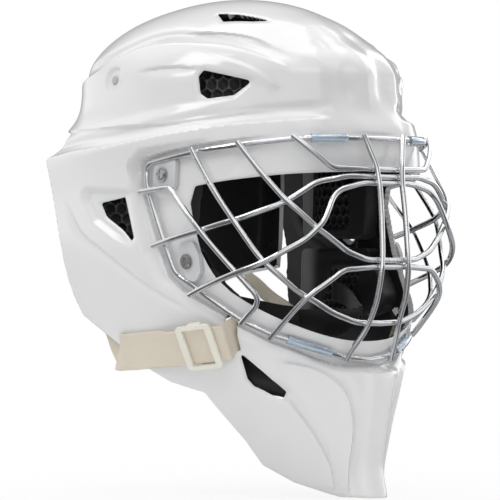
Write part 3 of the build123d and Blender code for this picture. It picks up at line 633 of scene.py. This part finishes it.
# ---------------------------------------------------------------- shell
def moulded_relief(r):
    """Creases, forehead flutes and chin band of the shell, away from the seat of the rivet."""
    points = place(ANGLE, LEVEL, r)
    out = np.zeros(len(r))
    for row in CREASES:
        out += crest(points, *row)
    # forehead keel 1.6 high, with a flute 2.6 deep at 9 degrees and a rib 1.2 high at 18 a side
    front = np.abs(ANGLE)
    mm_round = np.radians(front) * r
    tall = ease((166 - LEVEL) / 46) * ease((LEVEL - 88) / 20)
    out += 1.6 * tall * ridge(mm_round, 7.0, 7.0, 0.8)
    out += tall * (-2.6 * np.exp(-((front - 9.0) / 4.8) ** 2))
    out += tall * 1.2 * ridge((front - 18.0) * 2.0, 8.0, 7.0, 1.0)
    # band 3 proud down the middle of the chin, chamfered from 9.5 to 14 off the middle
    out += 3.0 * np.clip((14.0 - mm_round) / 4.5, 0, 1) * ease((-80 - LEVEL) / 8)
    rivet = place(np.array(RIVET[0]), RIVET[1], radius_at(*RIVET))
    away = np.linalg.norm(points - rivet, axis=1)
    seat_radius, seat_fade = 11, 5
    return out * (1 - ease((seat_radius - away) / seat_fade))


def with_recess(r):
    """The recess that the cage sits in: a slope down to the wires, then a step round the rim."""
    side = np.stack([-place(ANGLE, LEVEL, r)[:, 1], LEVEL], -1)
    # the part of the grid that the recess can reach
    band = (np.abs(ANGLE) < 112) & (LEVEL > -96) & (LEVEL < 92)
    slope, step = np.full(len(r), FAR_OUTSIDE), np.full(len(r), FAR_OUTSIDE)
    slope[band] = depth_in(side[band], rounded(RECESS, 9.0))
    rim = np.array([(220, RIM[0][1])] + RIM + [(220, RIM[-1][1])], float)
    step[band] = depth_in(side[band], rim) + RIM_MARGIN
    under, floor = r.copy(), r.copy()
    under[band] = cage_reach(ANGLE[band], LEVEL[band], WIRE_DROP)
    floor[band] = cage_reach(ANGLE[band], LEVEL[band], RECESS_DROP)
    # the slope is half as wide along the brow
    wide, step_wide = 7.0 - 3.5 * ease((LEVEL - 40) / 20), 1.9
    r = r - np.maximum(0.0, r - under) * ease((slope + 1.5) / wide)
    return r - np.maximum(0.0, r - floor) * ease((step + 0.4) / step_wide)


def with_scoop(r):
    """The scoop behind and below the ear vent."""
    outline = rounded([(angle * SIDE_DEGREE, z) for angle, z in EAR_SCOOP], 6.0)
    scoop = depth_in(np.stack([ANGLE * SIDE_DEGREE, LEVEL], -1), outline)
    depth, slope_width = 3.4, 5.0
    return r - depth * ease(scoop / slope_width) * ease((-83 - ANGLE) / 11.0)


def with_edges(r):
    """Radius with its edges rolled, and the distance to the nearest edge or vent."""
    points = place(ANGLE, LEVEL, r)
    side = np.stack([-points[:, 1], LEVEL], -1)
    port = -depth_in(side, rounded(PORT, 2.5))
    behind = -depth_in(side, rounded(BEHIND, 2.0))
    gap = -np.max(np.array([vent_depth(points, outline, radius) for outline, radius in VENTS]), axis=0)
    # the wall dips towards these vents
    dip_width, dip_depth = 4.2, 1.1
    for outline in (UPPER_VENT, CROWN_VENT, JAW_VENT):
        away = -vent_depth(points, outline, 2.0)
        r = r - dip_depth * ease((dip_width - away) / dip_width)
    keep = np.minimum(np.minimum(port, behind), gap)
    return r - rolled(keep), keep


def shell_piece():
    """The hard shell, made on the wearer's right and mirrored, with its wall and its inside painted near
    black as shade.
    """
    r = BASE.ravel()
    r = with_scoop(with_recess(r + moulded_relief(r)))
    r, keep = with_edges(r)
    grid = place(ANGLE, LEVEL, r).reshape(ROWS, COLUMNS, 3)
    keep = keep.reshape(ROWS, COLUMNS)
    other = grid[:, ::-1][:, 1:-1] * np.array([-1.0, 1.0, 1.0])
    both = np.concatenate([grid, other], axis=1)
    kept = np.concatenate([keep, keep[:, ::-1][:, 1:-1]], axis=1)
    verts, faces = clipped(both.reshape(-1, 3), kept.ravel(), both.shape[1], True)
    # close the crown
    number = {tuple(v): k for k, v in enumerate(verts)}
    ring = [number[tuple(p)] for p in both[-1].tolist()]
    verts.append((0.0, float(np.mean(both[-1][:, 1])), DOME_Z + DOME_HEIGHT))
    faces += [(ring[k], ring[(k + 1) % len(ring)], len(verts) - 1) for k in range(len(ring))]
    return thicken(mesh_piece("shell_skin", verts, faces, [WHITE, INSIDE_SHADE]), WALL, SHARP)


shell = shell_piece()
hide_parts("shell")
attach(shell, "mask")


# ---------------------------------------------------------------- back plate
PLATE_WALL = 3.0
PLATE_FRONT_Y = 54.3  # the plate's front edges
# the plate's outline as (x, z), down its right half
PLATE_SIDE = [
    (0, 108), (-54, 108), (-74, 92), (-88, 62), (-92, 20), (-88, -12), (-66, -22), (-40, -38), (0, -42)]


def plate_piece():
    """Hard plate behind the head: rolled edge, a groove along it and two pressed grooves a side."""
    columns = 201
    angle = np.linspace(112, 248, columns)
    level = np.arange(-46, 112.1, 1.3)
    angle, level = [v.ravel() for v in np.meshgrid(angle, level)]
    law = laws(level, PLATE_LEVELS)
    r = corner_radius(angle, law[..., 0], law[..., 1], law[..., 2])
    x = r * np.sin(np.radians(angle))
    outline = PLATE_SIDE + [(-px, pz) for px, pz in PLATE_SIDE[-2:0:-1]]
    keep = depth_in(np.stack([x, level], -1), rounded(outline, 14.0))
    keep = np.minimum(keep, AXIS_Y - r * np.cos(np.radians(angle)) - PLATE_FRONT_Y)
    # the pressed grooves run out before they reach the edge
    inner = ease((keep - 5) / 9)
    aside = np.abs(x)
    r = r - 0.9 * ridge(aside - 24 - 0.10 * level, 3.0, 3.0, 1.2) * inner
    r = r - 0.8 * ridge(aside - 50 - 0.08 * level, 2.6, 2.6, 1.2) * inner
    r = r - 0.7 * ridge(keep - 9, 2.2, 2.2, 1.0)
    r = r - rolled(keep)
    verts, faces = clipped(place(angle, level, r), keep, columns, False)
    return thicken(mesh_piece("back_plate_skin", verts, faces, [WHITE, INSIDE_SHADE]), PLATE_WALL, SHARP)


plate = plate_piece()
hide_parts("back_plate")
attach(plate, "back")


# ---------------------------------------------------------------- foam pads
def honeycomb(u, v, size):
    """Distance from (u, v) to the nearest wall of a honeycomb with cells that wide."""
    tall = size * math.sqrt(3)
    best = None
    for shift_u, shift_v in ((0.0, 0.0), (size / 2, tall / 2)):
        x = u - shift_u - size * np.round((u - shift_u) / size)
        y = v - shift_v - tall * np.round((v - shift_v) / tall)
        wall = size / 2 - np.maximum(np.abs(x), 0.5 * np.abs(x) + 0.5 * math.sqrt(3) * np.abs(y))
        best = wall if best is None else np.maximum(best, wall)
    return best


PAD_DEGREE = 1.9  # developed width of a degree on the pads


def pad_piece(node, body, voxel, patches, cell=7.5, rounds=7):
    """Softened copy of a foam node. Each patch (side, centre angle, centre z, half width, half
    height) is a moulded honeycomb, side +1 on the face towards the wall and -1 towards the head."""
    source = NODES[node]
    piece = bpy.data.objects.new(node + "_foam", source.data.copy())
    scene.collection.objects.link(piece)
    shape = piece.modifiers.new("remesh", "REMESH")
    shape.mode, shape.voxel_size = "VOXEL", voxel * 0.001
    soften = piece.modifiers.new("soften", "SMOOTH")
    soften.factor, soften.iterations = 0.5, rounds
    settle(piece)
    mesh = piece.data
    count = len(mesh.vertices)
    v = np.empty(count * 3)
    n = np.empty(count * 3)
    mesh.vertices.foreach_get("co", v)
    mesh.vertices.foreach_get("normal", n)
    v, n = v.reshape(-1, 3) * 1000, n.reshape(-1, 3)
    angle = np.degrees(np.arctan2(v[:, 0], AXIS_Y - v[:, 1]))
    radial = np.stack([np.sin(np.radians(angle)), -np.cos(np.radians(angle)), 0 * angle], -1)
    if np.mean(v[:, 2]) > 96:
        # over the crown the wall is also above
        radial = v - np.array([0, AXIS_Y, 60.0])
        radial /= np.linalg.norm(radial, axis=1)[:, None]
    facing = (n * radial).sum(1)
    relief = np.full(count, PLAIN_FOAM)
    move = np.zeros(count)
    for side, middle, z, wide, tall in patches:
        across = (np.abs(angle) - abs(middle)) * PAD_DEGREE
        local = rounded([(-wide, -tall), (wide, -tall), (wide * 0.8, tall), (-wide * 0.8, tall)], 8.0)
        inside = depth_in(np.stack([across, v[:, 2] - z], -1), local)
        facing_it = ease((side * facing - 0.35) / 0.3)
        sunk = ease(inside / 2.0) * facing_it
        gap = honeycomb(across, v[:, 2], cell)
        hollow = ease((gap - 0.35) / 0.9)
        move -= sunk * (0.7 + 2.3 * hollow)
        # this attribute sets the foam's painted highlight on the ribs and painted shade in the cells
        relief += sunk * ((1 - hollow) * (1 - PLAIN_FOAM) - hollow * PLAIN_FOAM)
        # a low lip round the patch
        move += 0.8 * np.exp(-((inside + 1.2) / 1.6) ** 2) * facing_it
    v = v + n * move[:, None]
    mesh.vertices.foreach_set("co", (v * 0.001).ravel())
    layer = mesh.attributes.new("relief", "FLOAT", "POINT")
    layer.data.foreach_set("value", relief)
    mesh.update()
    mesh.materials.clear()
    mesh.materials.append(FOAM)
    for polygon in mesh.polygons:
        polygon.material_index = 0
    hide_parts(node)
    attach(piece, body)


pad_piece("crown_pad", "mask", 1.5, [(1, 50, 110, 30, 16), (1, 46, 158, 26, 12)], 8.6)
pad_piece("brow_pad", "mask", 1.5, [(-1, 0, 76, 34, 11)])
for hand in ("right", "left"):
    pad_piece("temple_pad_" + hand, "mask", 1.3, [(1, 95, 21, 25, 22), (-1, 84, 36, 26, 22)], 7.8)
    pad_piece("cheek_pad_" + hand, "mask", 1.3, [(-1, 72, -29, 22, 16)], 6.6)
pad_piece("chin_pad", "mask", 1.5, [(-1, 0, -88, 26, 9)])
pad_piece("back_pad", "back", 1.8, [(-1, 180, 40, 46, 46)], 9.0)
pad_piece("chin_cup_pad", "chin", 1.0, [], rounds=5)


# ---------------------------------------------------------------- webbing
def strap_piece(name, stations, width, thick, material, node):
    """Woven band through stations of (centre, across, outward), its edges rolled, in millimetres."""
    centre = [Vector(s[0]) for s in stations]
    across = [Vector(s[1]).normalized() for s in stations]
    out = [Vector(s[2]).normalized() for s in stations]

    def spline(values, s):
        i = min(int(s), len(values) - 2)
        t = s - i
        a = values[max(i - 1, 0)]
        b, c = values[i], values[i + 1]
        d = values[min(i + 2, len(values) - 1)]
        return 0.5 * (2 * b + (c - a) * t + (2 * a - 5 * b + 4 * c - d) * t**2
                      + (3 * b - a - 3 * c + d) * t**3)

    trail = []
    for i in range(len(centre) - 1):
        steps = max(2, round((centre[i + 1] - centre[i]).length / 2.0))
        trail += [i + k / steps for k in range(steps)]
    trail.append(len(centre) - 1)
    # profile across the band, a little thicker along its edges
    profile = []
    half, deep = width / 2, thick / 2
    cuts, edge_width, bead = 24, 2.2, 0.06
    for k in range(cuts + 1):
        x = -half + 0.5 + (width - 1.0) * k / cuts
        swell = bead if abs(x) > half - edge_width else 0.0
        profile.append((x, deep + swell))
    profile += [(half - 0.1, deep * 0.6), (half, 0.0), (half - 0.1, -deep * 0.6)]
    profile += [(x, -y) for x, y in profile[cuts::-1]]
    profile += [(-half + 0.1, -deep * 0.6), (-half, 0.0), (-half + 0.1, deep * 0.6)]
    verts, faces, runs = [], [], []
    length, before = 0.0, None
    for s in trail:
        c, a, o = spline(centre, s), spline(across, s).normalized(), spline(out, s)
        o = (o - a * o.dot(a)).normalized()
        length += (c - before).length if before is not None else 0.0
        before = c
        runs.append(length)
        verts += [tuple(c + a * x + o * y) for x, y in profile]
    size = len(profile)
    for i in range(len(trail) - 1):
        for k in range(size):
            j = (k + 1) % size
            faces.append((i * size + k, i * size + j, (i + 1) * size + j, (i + 1) * size + k))
    faces.append(tuple(range(size))[::-1])
    faces.append(tuple((len(trail) - 1) * size + k for k in range(size)))
    piece = mesh_piece(name, verts, faces, [material])
    uv = piece.data.uv_layers.new(name="weave")
    for loop in piece.data.loops:
        i, k = divmod(loop.vertex_index, size)
        uv.data[loop.index].uv = (0.5 + profile[k][0] / width, runs[i] * 0.001)
    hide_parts(node)
    return piece


def wall_station(angle, z, off, turn=0.0):
    """Strap station off the plain shell, its width turned from upright by turn."""
    origin, along, up, out = seat(angle, z)
    return (origin + out * off, (up + along * turn).normalized(), out)


def flipped(stations):
    """The same stations on the wearer's left."""
    def side(v):
        return Vector((-v[0], v[1], v[2]))
    return [(side(c), side(a), side(o)) for c, a, o in stations]


def jaw_stations():
    """The right jaw strap: out of its slot, straight under the buckle, round the wing to the plate."""
    front, rear = wall_station(-52.0, -62.2, 5.4)[0], wall_station(-66.0, -65.9, 5.4)[0]
    along = (front - rear).normalized()
    out = seat(-59, -64)[3]
    out = (out - along * out.dot(along)).normalized()
    up = out.cross(along)
    middle = (front + rear) * 0.5
    found = [wall_station(a, z, off, -0.1) for a, z, off in (
        (-46.6, -60.3, -9.0), (-47.6, -60.5, -4.0), (-48.6, -60.9, 0.6))]
    found += [(middle + along * x, up, out) for x in (20.0, 10.0, 0.0, -10.0, -22.0)]
    found += [wall_station(a, z, off, turn) for a, z, off, turn in (
        (-77, -68.4, 2.6, -0.08), (-83, -69.6, 2.3, -0.05), (-90, -70.8, 2.4, 0.0), (-97, -71.4, 3.2, 0.05))]
    edge = found[-1][0]
    for centre, across, outward in (
            (edge + Vector((3.0, 6.5, 0.5)), (0.2, -0.1, 1.0), (-0.6, 0.8, 0)),
            (edge + Vector((8.0, 9.0, 3.0)), (0.15, -0.2, 1.0), (0.0, 1.0, 0)),
            (edge + Vector((11.0, 15.0, 8)), (0.0, -0.45, 1.0), (-1, 0, 0)),
            (Vector((-90.5, 62, -45)), (0.0, 0.45, 1.0), (-1, 0.2, 0)),
            (Vector((-88.5, 76, -33)), (0.1, 0.55, 1.0), (-0.95, 0.4, 0)),
            (Vector((-81.5, 90, -22)), (0.2, 0.6, 1.0), (-0.8, 0.65, 0))):
        across, outward = Vector(across).normalized(), Vector(outward)
        found.append((centre, across, (outward - across * outward.dot(across)).normalized()))
    return found


def straps():
    """Jaw and crown straps, and the chin sling."""
    jaw = jaw_stations()
    for hand, stations in (("right", jaw), ("left", flipped(jaw))):
        band = strap_piece("jaw_webbing_" + hand, stations, 26.0, 1.3, SAND,
                           "jaw_strap_" + hand)
        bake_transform(band)
    # crown strap, from under the rivet to the plate
    origin, _, _, out = seat(*RIVET)
    start = origin - out * (WALL + 2.4)
    across = Vector((0, -0.35, 1)).normalized()
    stay = [
        (start + Vector((0, -8, 3)), across, out),
        (start + Vector((0.6, 10, -4)), across, out),
        (Vector((-82.5, 72, 96)), across, Vector((-0.9, 0.45, 0.15)).normalized()),
        (Vector((-77.0, 84, 90)), across, Vector((-0.8, 0.6, 0.2)).normalized())]
    for hand, stations in (("right", stay), ("left", flipped(stay))):
        band = strap_piece("crown_webbing_" + hand, stations, 15.0, 1.3, BLACK_WEB,
                           "crown_strap_" + hand)
        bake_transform(band)
    # chin sling, from the cup to its snap behind the cheek pad
    up, out = Vector((0, 0, 1)), Vector((-0.976, 0.021, -0.216))
    end = Vector((-75.42, -16.95, -33.0)) - out * 4.4
    sling = [(Vector(c), up, Vector(o)) for c, o in (
        ((-31.0, -74.6, -47.5), (-0.5, -0.85, 0)), ((-36.0, -70.2, -46.5), (-0.75, -0.65, 0)),
        ((-42.0, -62.5, -45.0), (-0.8, -0.6, 0)), (end + Vector((5.0, -14.0, -4.5)), (-0.9, -0.3, 0)),
        (end, out), (end + Vector((0.5, 7, 1.5)), out))]
    for hand, stations in (("right", sling), ("left", flipped(sling))):
        band = strap_piece("sling_webbing_" + hand, stations, 14.0, 1.4, BLACK_WEB,
                           "chin_sling_" + hand)
        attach(band, "chin")


straps()


# ---------------------------------------------------------------- hardware kept from the frame
BEVEL_OVER = 42  # degrees an edge must turn by to be eased


def dress(node, material, bevel=0.0):
    """A CAD node that keeps its shape, with its edges eased and a material of its own."""
    piece = NODES[node]
    piece.data.materials.clear()
    piece.data.materials.append(material)
    if bevel:
        ease_edges = piece.modifiers.new("eased", "BEVEL")
        ease_edges.width, ease_edges.segments, ease_edges.limit_method = bevel * 0.001, 2, "ANGLE"
        ease_edges.angle_limit = math.radians(BEVEL_OVER)


for node in NODES:
    if node.startswith(("cage_wire", "cage_bar", "cage_rim")):
        dress(node, WIRE_METAL)
    elif node.startswith("sleeve"):
        dress(node, VINYL)
    elif node.startswith("cage_clip"):
        dress(node, CLIP, 0.5)
    elif node in ("cage_screws", "cage_nuts", "chin_snaps"):
        dress(node, SCREW, 0.15)
    elif node == "strap_rivets":
        dress(node, RIVET_PAINT, 0.2)
    elif node.startswith("buckle"):
        dress(node, CREAM, 0.5)
    elif node == "chin_cup":
        dress(node, CUP, 0.6)


# ---------------------------------------------------------------- stage, light and camera
FLOOR_Z, FLOOR_HALF = -172, 1500
# tones of the studio by the height of the direction, 0 straight down and 1 straight up
LOWEST_TONE, HIGHEST_TONE = (0.40, (0.33, 0.335, 0.35, 1)), (0.95, (1.0, 1.0, 1.0, 1))
MIDDLE_TONES = ((0.455, 0.30), (0.50, 1.0), (0.57, 0.95), (0.64, 0.58), (0.80, 0.84))
STUDIO_POWER = 1.22
CAMERA_DISTANCE, CAMERA_LENS, CAMERA_SENSOR = 2.56, 261.0, 36.0
CAMERA_RIGHT, CAMERA_UP = -0.0024, -0.0014


def stage_floor():
    """White floor that fades out into the surroundings and is faint where the camera sees it."""
    corners = [(x * FLOOR_HALF, y * FLOOR_HALF, FLOOR_Z) for x, y in ((-1, -1), (1, -1), (1, 1), (-1, 1))]
    floor = mesh_piece("floor", corners, [(0, 1, 2, 3)], [])
    p = Paint("floor_paint")
    p.set(Base_Color=p.blend(p.noise(3.0), (0.93, 0.93, 0.93), (0.95, 0.95, 0.95)), Roughness=0.9)
    distance = p.node("ShaderNodeVectorMath", {0: p.place()}, operation="LENGTH").outputs["Value"]
    seen = p.node("ShaderNodeLightPath").outputs["Is Camera Ray"]
    p.set(Alpha=p.math("MULTIPLY", p.span(distance, 1.0, 0.0, 0.35, 1.2), p.span(seen, 1.0, 0.10)))
    floor.data.materials.append(p.material)
    floor.visible_glossy = False


def studio():
    """White to the camera; softboxes with dark gaps between them to everything else."""
    world = bpy.data.worlds.new("studio")
    scene.world = world
    world.use_nodes = True
    tree = world.node_tree
    background = tree.nodes["Background"]

    def step(kind, a, b):
        made = tree.nodes.new("ShaderNodeMath")
        made.operation = kind
        for socket, value in zip(made.inputs, (a, b)):
            feed(tree, socket, value)
        return made.outputs[0]

    def remapped(value, **ranges):
        made = tree.nodes.new("ShaderNodeMapRange")
        feed(tree, made.inputs["Value"], value)
        for key, edge in ranges.items():
            made.inputs[key.replace("_", " ")].default_value = edge
        return made.outputs["Result"]

    split = tree.nodes.new("ShaderNodeSeparateXYZ")
    feed(tree, split.inputs[0], tree.nodes.new("ShaderNodeTexCoord").outputs["Generated"])
    ramp = tree.nodes.new("ShaderNodeValToRGB")
    feed(tree, ramp.inputs["Fac"], remapped(split.outputs["Z"], From_Min=-1.0))
    marks = ramp.color_ramp.elements
    marks[0].position, marks[0].color = LOWEST_TONE
    marks[1].position, marks[1].color = HIGHEST_TONE
    for at, tone in MIDDLE_TONES:
        mark = marks.new(at)
        mark.color = (tone, tone, tone * 1.01, 1)
    feed(tree, background.inputs["Color"], ramp.outputs["Color"])
    # dark gaps between the softboxes, one either side of the camera and one behind the object
    turn = step("ADD", step("ARCTAN2", split.outputs["Y"], split.outputs["X"]), math.radians(135))
    wave = step("COSINE", step("MULTIPLY", turn, 3.0), 0.0)
    boxes = remapped(wave, From_Min=-0.5, From_Max=0.3, To_Min=0.28, To_Max=1.0)
    feed(tree, background.inputs["Strength"], step("MULTIPLY", boxes, STUDIO_POWER))
    plain = tree.nodes.new("ShaderNodeBackground")
    plain.inputs["Color"].default_value = (1, 1, 1, 1)
    plain.inputs["Strength"].default_value = 1.0
    mixed = tree.nodes.new("ShaderNodeMixShader")
    feed(tree, mixed.inputs["Fac"], tree.nodes.new("ShaderNodeLightPath").outputs["Is Camera Ray"])
    feed(tree, mixed.inputs[1], background.outputs[0])
    feed(tree, mixed.inputs[2], plain.outputs[0])
    feed(tree, tree.nodes["World Output"].inputs["Surface"], mixed.outputs[0])


def lamp(name, where, size, power):
    """Rectangular lamp aimed at the origin."""
    light = bpy.data.lights.new(name, "AREA")
    light.shape, light.size, light.size_y, light.energy = "RECTANGLE", size[0], size[1], power
    holder = bpy.data.objects.new(name, light)
    holder.location = where
    holder.rotation_euler = (-Vector(where)).to_track_quat("-Z", "Y").to_euler()
    scene.collection.objects.link(holder)


def place_camera():
    """Camera at the front on the wearer's right, level with the middle of the mask."""
    data = bpy.data.cameras.new("camera")
    data.sensor_width, data.lens = CAMERA_SENSOR, CAMERA_LENS
    camera = bpy.data.objects.new("camera", data)
    back = Vector((-1, -1, 0)).normalized()
    right = Vector((1, -1, 0)).normalized()
    up = Vector((0, 0, 1))
    camera.matrix_world = (
        Matrix.Translation(back * CAMERA_DISTANCE + right * CAMERA_RIGHT + up * CAMERA_UP)
        @ Matrix((right, up, back)).transposed().to_4x4())
    scene.collection.objects.link(camera)
    scene.camera = camera
    scene.view_settings.view_transform = "Standard"


stage_floor()
studio()
lamp("key_left", (-1.9, 0.6, 2.0), (1.0, 1.4), 16)
lamp("key_front", (-0.2, -2.3, 1.9), (1.8, 0.9), 4)
lamp("top", (0.2, 0.3, 2.2), (2.0, 2.0), 14)
lamp("rim_right", (1.9, 0.3, 0.9), (0.8, 1.8), 5)
place_camera()
